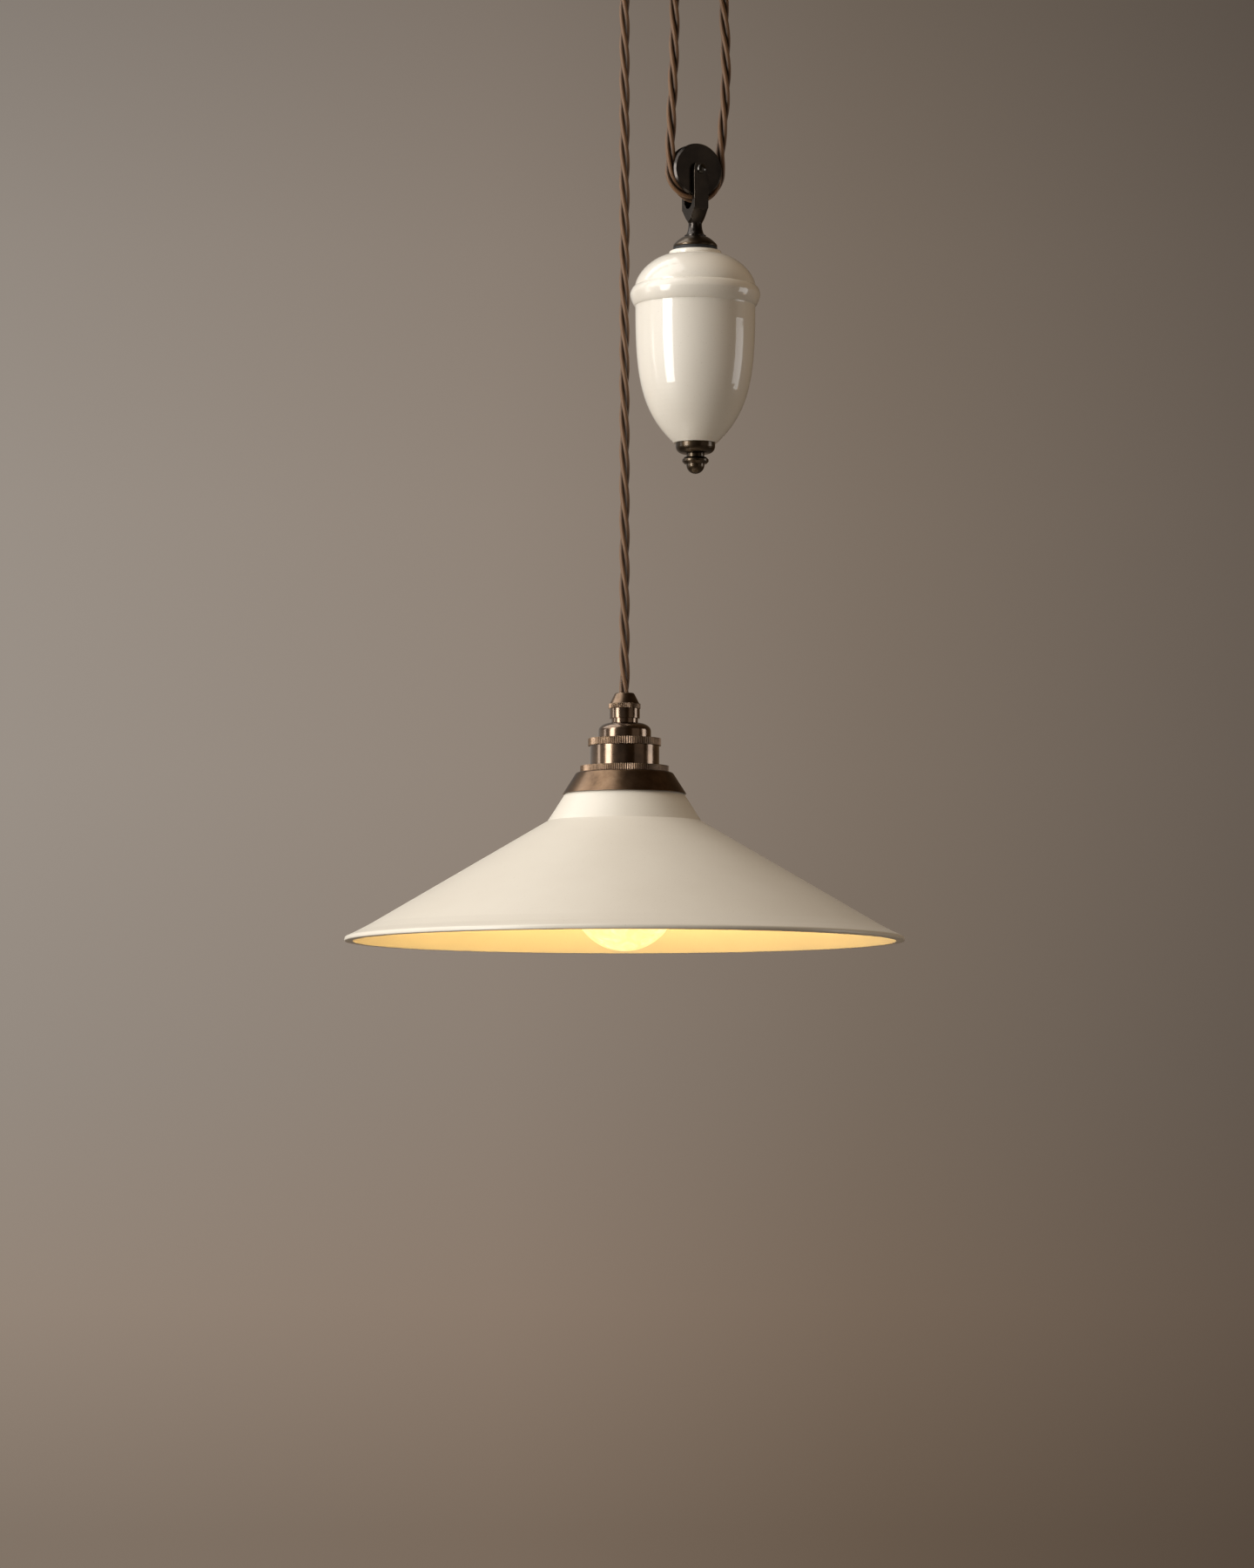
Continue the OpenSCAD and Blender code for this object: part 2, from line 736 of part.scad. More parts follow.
shell_top = -fork_seat;
shell_foot = shell_top - weight_h;
bead_z = shell_foot + bead_h;
bead_rise = 4.9;
bead_fall = 6.8;
bead_step = 0.8;
dome_foot = bead_z + bead_rise;
bead_foot = bead_z - bead_fall;
body_top = bead_foot - bead_step;
seat_h = 2.4;
plug_ledge = 2.5;
plug_d = weight_foot_d - 2 * plug_ledge;
plug_h = 5;
plug_gap = 0.6;
fill_gap = 0.3;
tie_hole_d = tie_d + 1;

// Quarter of a superellipse from (r0, z1) out and down to (r1, z0)
function bulge(r0, z0, r1, z1, power, n) =
    [for (i = [0 : n])
        let (a = 90 * i / n)
            [r0 + (r1 - r0) * pow(sin(a), 2 / power), z0 + (z1 - z0) * pow(cos(a), 2 / power)]];

function bezier(p, n) =
    [for (i = [0 : n])
        let (t = i / n, s = 1 - t)
            s * s * s * p[0] + 3 * s * s * t * p[1] + 3 * s * t * t * p[2] + t * t * t * p[3]];

// The body's side, drawn in by inset, from the bead to the foot
cheek_in = 2.9;
cheek_rise = 18.2;
function side(inset, foot_r, foot_z) = bezier([
    [weight_body_d / 2 - inset, body_top],
    [weight_body_d / 2 - inset, body_top - (body_top - shell_foot) / 2],
    [weight_body_d / 2 - cheek_in - inset, shell_foot + cheek_rise + inset / 2],
    [foot_r, foot_z]], 24);

// The hollow, with a little more wall over its dome
dome_extra = 1.2;
cavity_top = shell_top - weight_wall - dome_extra;
cavity_side_r = weight_body_d / 2 - weight_wall;
cavity_foot = shell_foot + plug_h + plug_gap;
dome_power = 2.6;

function cavity_dome(inset) =
    bulge(tie_hole_d / 2, body_top, cavity_side_r - inset, cavity_top - inset, dome_power, 16);

module weight_fork() {
    color(dark_bronze) at_weight() difference() {
        fork();
        translate([0, 0, -foot_depth - eps]) cylinder(d = tie_d + 2 * thread_gap, h = tie_hole_l + eps);
    }
}

module weight_fork_cap() {
    color(brass) at_weight() fork_cap(tie_d + 2 * fit);
}

module weight_washer() {
    color(rubber_black) at_weight() fork_washer(tie_d + 2 * fit);
}

module weight_shell() {
    seat_r = weight_seat_d / 2;
    seat_edge = 1.2;
    dome_r = weight_body_d / 2 + 0.2;
    neck_r = weight_body_d / 2 + 0.15;
    full = 1.6;
    slack = 1.4;
    color(porcelain) at_weight() turned(concat(
        [[tie_hole_d / 2, shell_top]],
        reversed(arc(seat_r - seat_edge, shell_top - seat_edge, seat_edge, 0, 90, 6)),
        bulge(seat_r, dome_foot, dome_r, shell_top - seat_h, full, 20),
        bulge(dome_r, bead_z, weight_d / 2, dome_foot, full, 10),
        reversed(bulge(neck_r, bead_z, weight_d / 2, bead_foot, slack, 12)),
        side(0, weight_foot_d / 2, shell_foot),
        [[plug_d / 2, shell_foot], [plug_d / 2, cavity_foot]],
        reversed(side(weight_wall, plug_d / 2, cavity_foot)),
        reversed(cavity_dome(0))
    ));
}

function reversed(list) = [for (i = [len(list) - 1 : -1 : 0]) list[i]];

module tie_rod() {
    end_play = 0.5;
    top = -foot_depth + tie_hole_l - 2 * gap;
    bottom = finial_top - finial_bore_l + end_play;
    color(steel) at_weight() translate([0, 0, bottom]) cylinder(d = tie_d, h = top - bottom);
}

module ballast() {
    color(lead_grey) at_weight() difference() {
        turned(concat(
            [[0, cavity_top - fill_gap]], cavity_dome(fill_gap),
            side(weight_wall + fill_gap, plug_d / 2 - fill_gap, cavity_foot + fill_gap),
            [[0, cavity_foot + fill_gap]]
        ));
        translate([0, 0, cavity_top - fill_top]) cylinder(d = weight_d, h = fill_top);
        translate([0, 0, shell_foot]) cylinder(d = tie_d + 2 * fit, h = weight_h);
    }
}

module filler_plug() {
    color(rubber_black) at_weight() translate([0, 0, shell_foot])
        ring(plug_d - 2 * fit, tie_d + 2 * gap, plug_h);
}

nut_across = 8;
nut_h = 3.4;
cup_wall = 0.9;

module tie_nut() {
    color(steel) at_weight() translate([0, 0, shell_foot - gap - nut_h])
        hex_nut(nut_across, tie_d + 2 * thread_gap, nut_h);
}

module bottom_cup() {
    round_r = 4.4;
    r = cup_d / 2;
    foot = shell_foot - cup_h;
    color(brass) at_weight() turned(concat(
        [[r - cup_wall, shell_foot - gap], [r, shell_foot - gap]],
        arc(r - round_r, foot + round_r, round_r, 0, -90, 8),
        [[tie_d / 2 + fit, foot], [tie_d / 2 + fit, foot + cup_wall]],
        arc(r - round_r, foot + round_r, round_r - cup_wall, -90, 0, 8)
    ));
}

finial_top = shell_foot - cup_h - gap;
finial_neck_h = 2.1;
finial_ring_h = 3.8;
finial_dome_h = 5.8;
finial_bore_l = 6.5;

module finial() {
    r = finial_d / 2;
    neck_r = r - 0.1;
    ring_z = finial_top - finial_neck_h;
    dome_z = ring_z - finial_ring_h;
    edge = 1.3;
    bore_r = tie_d / 2 + thread_gap;
    color(brass) at_weight() turned(concat(
        [[bore_r, finial_top], [neck_r, finial_top], [neck_r, ring_z]],
        [[finial_ring_d / 2 - edge, ring_z], [finial_ring_d / 2, ring_z - edge],
         [finial_ring_d / 2, dome_z + edge], [finial_ring_d / 2 - edge, dome_z], [r, dome_z]],
        arc(0, dome_z - finial_dome_h + r, r, 0, -90, 14),
        [[0, finial_top - finial_bore_l], [bore_r, finial_top - finial_bore_l]]
    ));
}

module weight_axle() {
    color(dark_bronze) on_axle(weight_x, weight_z) axle();
}

module flex_weight_wrap() {
    color(flex_brown) tube(half_turn(weight_x, weight_z, false), flex_d, tube_sides, down, up);
}

module flex_weight_drop() {
    color(flex_brown) tube(weight_route, flex_d, tube_sides, down, down);
}

module flex_anchor_drop() {
    color(flex_brown) tube(anchor_route, flex_d, tube_sides, down, down);
}

module weight_pulley() {
    color(dark_bronze) on_axle(weight_x, weight_z) pulley();
}

module weight_pulley_bush() {
    color(brass) on_axle(weight_x, weight_z) bush();
}

// ---- Lamp, heights above the rim ---------------------------------------------------------

holder_r = holder_d / 2;
cap_flange_h = 0.9;
cap_wall = 1.2;
body_neck_step = 1.2;
body_neck_r = holder_r - body_neck_step;
collar_lip_h = 1;

module cord_grip_nut() {
    color(brass) at_lamp() translate([0, 0, grip_foot]) grip_nut();
}

module cord_grip_insert() {
    color(rubber_black) at_lamp() translate([0, 0, grip_foot]) grip_insert();
}

module cord_grip_body() {
    color(brass) at_lamp() translate([0, 0, grip_foot]) grip_body(grip_spigot_l);
}

module lampholder_cap() {
    r = holder_cap_d / 2;
    flat_w = 0.4;
    side_h = 4.2;
    top_r = grip_undercut_d / 2 + flat_w;
    dome_z = collar_top + side_h;
    flange_top = collar_top - collar_lip_h - gap;
    bore = grip_spigot_d / 2 + thread_gap;
    function dome(inset) = [for (a = [0 : 7.5 : 90])
        [top_r - inset / 2 + (r - top_r - inset / 2) * sin(a),
         dome_z + (grip_foot - dome_z - inset) * cos(a)]];
    color(brass) at_lamp() turned(concat(
        [[bore, grip_foot]], dome(0),
        [[r, flange_top], [body_neck_r, flange_top], [body_neck_r, flange_top - cap_flange_h],
         [r - cap_wall, flange_top - cap_flange_h]],
        reversed(dome(cap_wall)), [[bore, grip_foot - cap_wall]]
    ));
}

module lampholder_collar() {
    color(brass) at_lamp() translate([0, 0, collar_foot]) difference() {
        knurled(collar_d, holder_cap_d + 2 * fit, collar_h, collar_teeth);
        translate([0, 0, -eps])
            cylinder(r = body_neck_r + thread_gap, h = collar_h - collar_lip_h + eps);
    }
}

module lampholder_body() {
    neck_top = collar_top - collar_lip_h - cap_flange_h - 3 * gap;
    ledge_z = insulator_top + 5 * gap;
    color(brass) at_lamp() turned([
        [holder_r - holder_wall, holder_foot], [holder_r, holder_foot],
        [holder_r, collar_foot - gap], [body_neck_r, collar_foot - gap],
        [body_neck_r, neck_top], [body_neck_r - holder_wall, neck_top],
        [body_neck_r - holder_wall, ledge_z], [holder_r - holder_wall, ledge_z]
    ]);
}

module shade_ring_outer() {
    color(brass) at_lamp() translate([0, 0, ring_foot + gap])
        knurled(shade_ring_d, holder_d + 2 * thread_gap, shade_ring_h - gap, shade_ring_teeth);
}

inner_ring_h = 4;
inner_ring_d = 49;

module shade_ring_inner() {
    color(brass) at_lamp() translate([0, 0, shade_top - shade_top_t - gap - inner_ring_h])
        ring(inner_ring_d, holder_d + 2 * thread_gap, inner_ring_h);
}

// The shade's neck and the gallery share one slope
neck_slope = (crease_d - neck_d) / 2 / (neck_h - crease_h);
neck_slant = sqrt(1 + neck_slope * neck_slope);
gasket_t = 1;
shade_top = ring_foot - gallery_wall - gasket_t;
shade_top_t = 4.5;
shade_hole_d = holder_d + 1.2;
gallery_play = 0.35;
gallery_edge_r = neck_d / 2 + gallery_play + gallery_wall * neck_slant;
gallery_round_r = 2.4;
gallery_round_x = gallery_edge_r - neck_slope * (gallery_h - gallery_round_r) - gallery_round_r * neck_slant;

module gallery() {
    tilt = atan(neck_slope);
    cz = ring_foot - gallery_round_r;
    color(brass) at_lamp() turned(concat(
        [[holder_r + 2 * fit, ring_foot]],
        arc(gallery_round_x, cz, gallery_round_r, 90, tilt, 8),
        [[gallery_edge_r, neck_h], [gallery_edge_r - gallery_wall * neck_slant, neck_h]],
        arc(gallery_round_x, cz, gallery_round_r - gallery_wall, tilt, 90, 8),
        [[holder_r + 2 * fit, ring_foot - gallery_wall]]
    ));
}

module gallery_gasket() {
    color(rubber_black) at_lamp() translate([0, 0, shade_top + gap])
        ring(2 * gallery_round_x, shade_hole_d, gasket_t - 2 * gap);
}

module shade() {
    rim_r = shade_d / 2;
    crease_r = crease_d / 2;
    flare_w = 14;
    flare_h = 9.2;
    flare_bow = 0.9;
    turn_r = 2;
    turn_z = 1;
    lip_r = 0.6;
    cone_slope = (crease_h - flare_h) / (rim_r - flare_w - crease_r);
    wall_drop = shade_wall * sqrt(1 + cone_slope * cone_slope);
    wall_in = shade_wall * neck_slant;
    // where the inner faces of the cone and the neck meet
    in_z = ((crease_h - wall_drop) / cone_slope + wall_in - neck_slope * crease_h)
        / (1 / cone_slope - neck_slope);
    in_r = crease_r + (crease_h - wall_drop - in_z) / cone_slope;
    edge = 0.6;
    neck_top_r = crease_r - neck_slope * (shade_top - edge - crease_h);
    under_r = crease_r - wall_in - neck_slope * (shade_top - shade_top_t - crease_h);
    color(porcelain) at_lamp() turned(concat(
        [[shade_hole_d / 2, shade_top], [neck_top_r - edge, shade_top], [neck_top_r, shade_top - edge],
         [crease_r, crease_h], [rim_r - flare_w, flare_h], [rim_r - flare_w / 2, flare_h / 2 + flare_bow]],
        arc(rim_r - turn_r, turn_z, turn_r, 60, 0, 6), arc(rim_r - lip_r, lip_r, lip_r, 0, -90, 4),
        [[in_r + in_z / cone_slope, 0], [in_r, in_z], [under_r, shade_top - shade_top_t],
         [shade_hole_d / 2, shade_top - shade_top_t]]
    ));
}

// Inside the lampholder
insulator_foot = 101;
insulator_top = 111.6;
insulator_recess = 3.5;
insulator_well_r = 9;
insulator_screw_depth = 6;
thread_pitch = 3.6;
thread_depth = 0.45;
cap_r = 12.6;
screw_r = 11;
bulb_cap_l = 27;
cap_shoulder_l = 4.1;
button_h = 0.9;
bulb_end = -bulb_below;
bulb_top = bulb_end + bulb_l;
cap_foot = bulb_top - bulb_cap_l;
cap_top = bulb_top - cap_shoulder_l;
button_z = bulb_top - button_h;

// Rings that stand for the cap's thread
function thread(r, z0, z1) =
    [for (z = [z0 : thread_pitch / 8 : z1])
        [r + thread_depth * sin(360 * (z - cap_foot) / thread_pitch), z]];

module holder_insulator() {
    color(porcelain) at_lamp() difference() {
        translate([0, 0, insulator_foot])
            cylinder(r = holder_r - holder_wall - fit, h = insulator_top - insulator_foot);
        translate([0, 0, insulator_foot - eps]) cylinder(r = insulator_well_r, h = insulator_recess + eps);
        for (s = [-1, 1]) translate([s * screw_r, 0, insulator_top - insulator_screw_depth])
            cylinder(d = clamp_d + 2 * thread_gap, h = insulator_screw_depth + eps);
    }
}

module screw_shell() {
    wall = 0.5;
    play = 0.35;
    plain_h = 2;
    flange_w = 3.4;
    flange_t = 0.6;
    inner_r = cap_r + play;
    outer_r = inner_r + wall;
    flange_r = cap_r + flange_w;
    shell_z = cap_foot + thread_pitch;
    end_z = insulator_foot - gap;
    color(brass) at_lamp() turned(concat(
        thread(inner_r, shell_z, end_z - plain_h), [[inner_r, end_z]],
        [[flange_r, end_z], [flange_r, end_z - flange_t], [outer_r + wall, end_z - flange_t]],
        reversed(thread(outer_r, shell_z, end_z - plain_h))
    ));
}

module centre_contact() {
    disc_d = 7;
    disc_h = 0.5;
    post_h = insulator_foot + insulator_recess - bulb_top - 2 * gap;
    color(brass) at_lamp() translate([0, 0, bulb_top + gap]) {
        cylinder(d = disc_d, h = disc_h);
        cylinder(d = clamp_d, h = post_h);
    }
}

module holder_screws() {
    head_d = 5.6;
    head_h = 1.7;
    screw_l = 5.5;
    color(brass) at_lamp() for (s = [-1, 1]) translate([s * screw_r, 0, insulator_top]) {
        translate([0, 0, gap]) cylinder(d = head_d, h = head_h);
        translate([0, 0, -screw_l]) cylinder(d = clamp_d, h = screw_l + gap + eps);
    }
}

// Tails of the three cores inside the lampholder, which end over its screws
tail_rise = 3.1;
tail_end_z = insulator_top + tail_rise;

function holder_tail(start_a, end_a) =
    let (turn = end_a - start_a, spigot_z = grip_foot - grip_spigot_l)
    [
        for (p = [[core_ring_r, 0, grip_foot + grip_l - grip_inside - gap],
                  [core_ring_r, 0, grip_foot - 4],
                  [core_ring_r, 0, spigot_z - 0.5],
                  [3.5, 0.2, tail_end_z + 1.6],
                  [7, 0.7, tail_end_z + 0.2],
                  [screw_r + 0.5, 1, tail_end_z]])
            let (a = start_a + turn * p[1]) [p[0] * cos(a), p[0] * sin(a), p[2]]
    ];

module holder_tails() {
    color(flex_brown) at_lamp() for (t = [[-30, 0], [210, 180], [90, 90]])
        tube(holder_tail(t[0], t[1]), core_d, tail_sides, down, [cos(t[1]), sin(t[1]), 0],
            [-sin(t[1]), cos(t[1]), 0]);
}

module bulb_glass() {
    globe_r = bulb_d / 2;
    centre_z = bulb_end + globe_r;
    wall = 0.8;
    lift = 35;
    leave = 9;
    neck_r = cap_r - thread_depth - 0.5;
    neck_z = cap_foot - 3;
    neck_flare = 0.8;
    neck_l = 14;
    in_cap = 4;
    // globe, then the neck, at a distance inside the outer face
    function face(inset) =
        let (r = globe_r - inset, x = r * cos(lift), z = centre_z + r * sin(lift))
        concat(
            arc(0, centre_z, r, -90, lift - 5, 24),
            bezier([[x, z], [x - leave * sin(lift), z + leave * cos(lift)],
                    [neck_r - inset + neck_flare, neck_z - neck_l], [neck_r - inset, neck_z]], 14),
            [[neck_r - inset, cap_foot + in_cap]]);
    color([1, 0.85, 0.6]) at_lamp() turned(concat(face(0), reversed(face(wall))));
}

module bulb_cap() {
    wall = 0.3;
    edge = 1;
    skirt_r = cap_r - thread_depth - wall;
    inner_r = skirt_r - wall / 2;
    color(steel) at_lamp() turned(concat(
        [[skirt_r, cap_foot]], thread(cap_r, cap_foot, cap_top - edge),
        [[cap_r - edge, cap_top], [cap_r - edge - wall, cap_top - wall],
         [inner_r, cap_top - 1.5 * edge], [inner_r, cap_foot]]
    ));
}

module bulb_insulator() {
    r = cap_r - 1.9;
    side_h = 1.8;
    dome_h = 3;
    button_r = 5.2;
    color(rubber_black) at_lamp() turned([
        [0, cap_top - dome_h], [r, cap_top - side_h], [r, cap_top + gap],
        [button_r, button_z], [0, button_z]
    ]);
}

module bulb_tip() {
    foot_r = 4.7;
    side_r = 4.2;
    top_r = 2.5;
    crown_h = 0.3;
    color(steel) at_lamp() turned([
        [0, button_z + gap], [foot_r, button_z + gap], [side_r, bulb_top - crown_h],
        [top_r, bulb_top], [0, bulb_top]
    ]);
}

module flex_lamp_drop() {
    color(flex_brown) tube(lamp_route, flex_d, tube_sides, down, down);
}

ceiling_bracket();
rose_cover();
rose_screws();
terminal_block();
terminal_inserts();
terminal_screws();
block_screw();
top_fork();
top_fork_cap();
top_fork_washer();
top_fork_nut();
top_axle();
anchor_grip_body();
anchor_grip_nut();
anchor_grip_insert();
anchor_locknut();
tail_live();
tail_neutral();
tail_earth();
flex_top_wrap();
top_pulley();
top_pulley_bush();
weight_fork();
weight_fork_cap();
weight_washer();
weight_shell();
tie_rod();
ballast();
filler_plug();
tie_nut();
bottom_cup();
finial();
weight_axle();
flex_weight_wrap();
flex_weight_drop();
flex_anchor_drop();
weight_pulley();
weight_pulley_bush();
cord_grip_nut();
cord_grip_insert();
cord_grip_body();
lampholder_cap();
lampholder_collar();
lampholder_body();
shade_ring_outer();
shade_ring_inner();
gallery();
gallery_gasket();
shade();
holder_insulator();
screw_shell();
centre_contact();
holder_screws();
holder_tails();
bulb_glass();
bulb_cap();
bulb_insulator();
bulb_tip();
flex_lamp_drop();
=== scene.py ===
"""Looks of the rise and fall pendant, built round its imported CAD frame.

Sizes are in millimetres, as in the CAD source, and mm() turns them to metres for Blender.
The flex runs in the XZ plane: up from the lamp, over the top pulley, down and round the
counterweight's pulley, and up to its anchor on the ceiling fitting.
"""

import json
import math

import bmesh
import bpy
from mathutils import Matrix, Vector


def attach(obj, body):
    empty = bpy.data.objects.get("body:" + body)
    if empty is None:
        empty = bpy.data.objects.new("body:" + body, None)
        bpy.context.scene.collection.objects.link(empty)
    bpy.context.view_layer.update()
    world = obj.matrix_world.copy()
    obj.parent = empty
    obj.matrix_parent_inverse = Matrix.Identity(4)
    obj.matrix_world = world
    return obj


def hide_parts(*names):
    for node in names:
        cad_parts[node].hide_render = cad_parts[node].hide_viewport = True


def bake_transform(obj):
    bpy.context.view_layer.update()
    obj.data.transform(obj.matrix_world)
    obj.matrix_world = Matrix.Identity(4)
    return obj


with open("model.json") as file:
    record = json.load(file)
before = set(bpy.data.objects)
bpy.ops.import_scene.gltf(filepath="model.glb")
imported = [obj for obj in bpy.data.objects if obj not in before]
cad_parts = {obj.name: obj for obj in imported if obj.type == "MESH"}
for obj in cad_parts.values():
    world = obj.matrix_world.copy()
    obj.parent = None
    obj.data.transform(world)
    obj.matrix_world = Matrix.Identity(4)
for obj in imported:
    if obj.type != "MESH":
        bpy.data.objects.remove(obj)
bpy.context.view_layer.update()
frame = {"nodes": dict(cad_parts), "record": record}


def mm(*values):
    """Millimetres as metres: one number, or a vector of three."""
    if len(values) == 1:
        return values[0] / 1000
    return Vector(values) / 1000


# ---- Sizes shared with the CAD source, heights below the ceiling being negative -----------

PITCH_R = 16
FLEX_D = 6
CORE_D = 2.74
WEIGHT_LEAN = 2.8
MIDDLE_X = -PITCH_R / 2
TOP_X = MIDDLE_X - PITCH_R
LAMP_X = TOP_X - PITCH_R
ANCHOR_X = MIDDLE_X + 2 * PITCH_R
WEIGHT_X = MIDDLE_X + PITCH_R - WEIGHT_LEAN
TOP_Z = -81
WEIGHT_Z = -197.5
LEAN_FROM = -109
LAMP_END = -512.5
ANCHOR_START = -42.2
ANCHOR_GRIP_MOUTH = -51.2
BULB_CENTRE_Z = -621.4
BULB_R = 30

# heights along the lamp's strand and the middle one; the anchor's also bows sideways
LAMP_ROUTE = [
    TOP_Z, -100, -130, -160, -200, -240, -280, -320, -360, -400, -440, -475, -500, LAMP_END,
]
WEIGHT_ROUTE = [TOP_Z, -97, -112, -126, -138, -150, -162, -174, -186, WEIGHT_Z]
ANCHOR_ROUTE = [
    (0.0, ANCHOR_START), (0.0, ANCHOR_GRIP_MOUTH - FLEX_D), (0.0, -74), (-0.3, -94), (0.5, -112),
    (1.4, -129), (2.0, -146), (1.7, -162), (0.8, -176), (0.2, -188), (0.0, WEIGHT_Z),
]

# ---- Directions and objects ---------------------------------------------------------------

CAMERA_AZIMUTH = math.radians(-25)
FORWARD = Vector((-math.sin(CAMERA_AZIMUTH), math.cos(CAMERA_AZIMUTH), 0))
RIGHT = Vector((math.cos(CAMERA_AZIMUTH), math.sin(CAMERA_AZIMUTH), 0))
UP = Vector((0, 0, 1))


def new_object(name, data):
    """A new object in the scene, of that mesh, light or camera."""
    item = bpy.data.objects.new(name, data)
    bpy.context.scene.collection.objects.link(item)
    return item


def aim(item, direction):
    """Turns a camera or a light to look along a direction."""
    item.rotation_mode = "QUATERNION"
    item.rotation_quaternion = direction.to_track_quat("-Z", "Y")


def mesh_from(name, mesh):
    """Mesh data from a bmesh, which is freed."""
    data = bpy.data.meshes.new(name)
    mesh.to_mesh(data)
    mesh.free()
    return data


# ---- Camera, at the photograph's viewing angle --------------------------------------------

FRAME_LONG_SIDE = 1800
FOCAL_PX = 6434
SENSOR = 36
CAMERA_DISTANCE = 3200
CAMERA_TILT = math.radians(4.17)
CAMERA_Z = -789.0
CAMERA_ASIDE = 1.4
CLIP_NEAR, CLIP_FAR = 0.1, 100


def make_camera():
    data = bpy.data.cameras.new("camera")
    data.sensor_fit = "AUTO"
    data.sensor_width = SENSOR
    data.lens = SENSOR * FOCAL_PX / FRAME_LONG_SIDE
    data.clip_start = CLIP_NEAR
    data.clip_end = CLIP_FAR
    camera = new_object("camera", data)
    place = Vector((LAMP_X, 0, 0)) + CAMERA_ASIDE * RIGHT - CAMERA_DISTANCE * FORWARD
    camera.location = mm(place.x, place.y, CAMERA_Z)
    aim(camera, math.cos(CAMERA_TILT) * FORWARD + math.sin(CAMERA_TILT) * UP)
    bpy.context.scene.camera = camera


make_camera()
# the glow inside the shade keeps its yellow only with the plain sRGB view
bpy.context.scene.view_settings.view_transform = "Standard"

# ---- Node helpers -------------------------------------------------------------------------

BEVEL_SAMPLES = 4
NO_STRETCH = (1, 1, 1)

# materials by the names given here; Blender adds a number where the frame has that name
MATERIALS = {}


class Nodes:
    """A node tree, with short calls for the nodes that the materials and the world share."""

    def __init__(self, tree):
        self.tree = tree

    def add(self, kind, inputs=(), **properties):
        """A node of that kind; inputs gives sockets by name or number, as values or as links."""
        node = self.tree.nodes.new(kind)
        for key, value in properties.items():
            setattr(node, key, value)
        for key, value in dict(inputs).items():
            if isinstance(value, bpy.types.NodeSocket):
                self.tree.links.new(value, node.inputs[key])
            else:
                node.inputs[key].default_value = value
        return node

    def ramp(self, value, *stops):
        """Colours or greys at places from 0 to 1: ramp(fac, (0.2, dark), (0.8, light))."""
        node = self.add("ShaderNodeValToRGB", {"Fac": value})
        elements = node.color_ramp.elements
        while len(elements) < len(stops):
            elements.new(0.5)
        for element, (position, colour) in zip(elements, stops):
            element.position = position
            element.color = (*colour, 1) if hasattr(colour, "__len__") else (colour,) * 3 + (1,)
        return node.outputs["Color"]

    def mix(self, factor, a, b, blend="MIX"):
        node = self.add("ShaderNodeMix", data_type="RGBA", blend_type=blend)
        for key, value in (("Factor", factor), ("A", a), ("B", b)):
            # the node has a socket of each name per data type, and only those in use are enabled
            socket = next(s for s in node.inputs if s.name == key and s.enabled)
            if isinstance(value, bpy.types.NodeSocket):
                self.tree.links.new(value, socket)
            elif hasattr(value, "__len__"):
                socket.default_value = (*value, 1)
            else:
                socket.default_value = value
        return next(s for s in node.outputs if s.enabled)

    def maths(self, operation, a, b=0.0):
        return self.add("ShaderNodeMath", {0: a, 1: b}, operation=operation).outputs[0]

    def dot(self, a, b):
        node = self.add("ShaderNodeVectorMath", {0: a, 1: b}, operation="DOT_PRODUCT")
        return node.outputs["Value"]

    def span(self, value, low, high, start=0.0, end=1.0):
        """A value from start to end, stretched to run from low to high."""
        return self.add("ShaderNodeMapRange", {
            "Value": value, "From Min": start, "From Max": end, "To Min": low, "To Max": high,
        }).outputs[0]


class Shader(Nodes):
    """A material and its Principled shader; settings are constants on the shader's sockets."""

    def __init__(self, name, **settings):
        self.material = MATERIALS[name] = bpy.data.materials.new(name)
        self.material.use_nodes = True
        super().__init__(self.material.node_tree)
        self.bsdf = self.tree.nodes["Principled BSDF"]
        # base_color names the socket Base Color, and so on
        sockets = {s.name.lower().replace(" ", "_"): s for s in self.bsdf.inputs}
        for key, value in settings.items():
            sockets[key].default_value = (*value, 1) if hasattr(value, "__len__") else value

    def plug(self, socket, output):
        self.tree.links.new(output, self.bsdf.inputs[socket])

    def place(self, stretch):
        """The point in the part's own frame, in metres, stretched per axis."""
        coords = self.add("ShaderNodeTexCoord").outputs["Object"]
        if stretch == NO_STRETCH:
            return coords
        return self.add("ShaderNodeMapping", {"Vector": coords, "Scale": stretch}).outputs[0]

    def noise(self, scale, detail=3.0, roughness=0.5, stretch=NO_STRETCH, distortion=0.0):
        return self.add("ShaderNodeTexNoise", {
            "Vector": self.place(stretch), "Scale": scale, "Detail": detail,
            "Roughness": roughness, "Distortion": distortion,
        }).outputs["Fac"]

    def bump(self, height, strength, distance, normal=None):
        inputs = {"Height": height, "Strength": strength, "Distance": distance}
        if normal is not None:
            inputs["Normal"] = normal
        return self.add("ShaderNodeBump", inputs).outputs[0]

    def rounded(self, radius):
        """The surface's normal, as if its edges were rounded with the radius, in metres."""
        return self.add("ShaderNodeBevel", {"Radius": radius}, samples=BEVEL_SAMPLES).outputs[0]

    def edges(self, radius):
        """Above 0 on edges sharper than the radius, 0 on faces."""
        flat = self.add("ShaderNodeNewGeometry").outputs["Normal"]
        return self.maths("SUBTRACT", 1.0, self.dot(self.rounded(radius), flat))


# ---- Materials: lengths in metres, noise scales per metre ---------------------------------

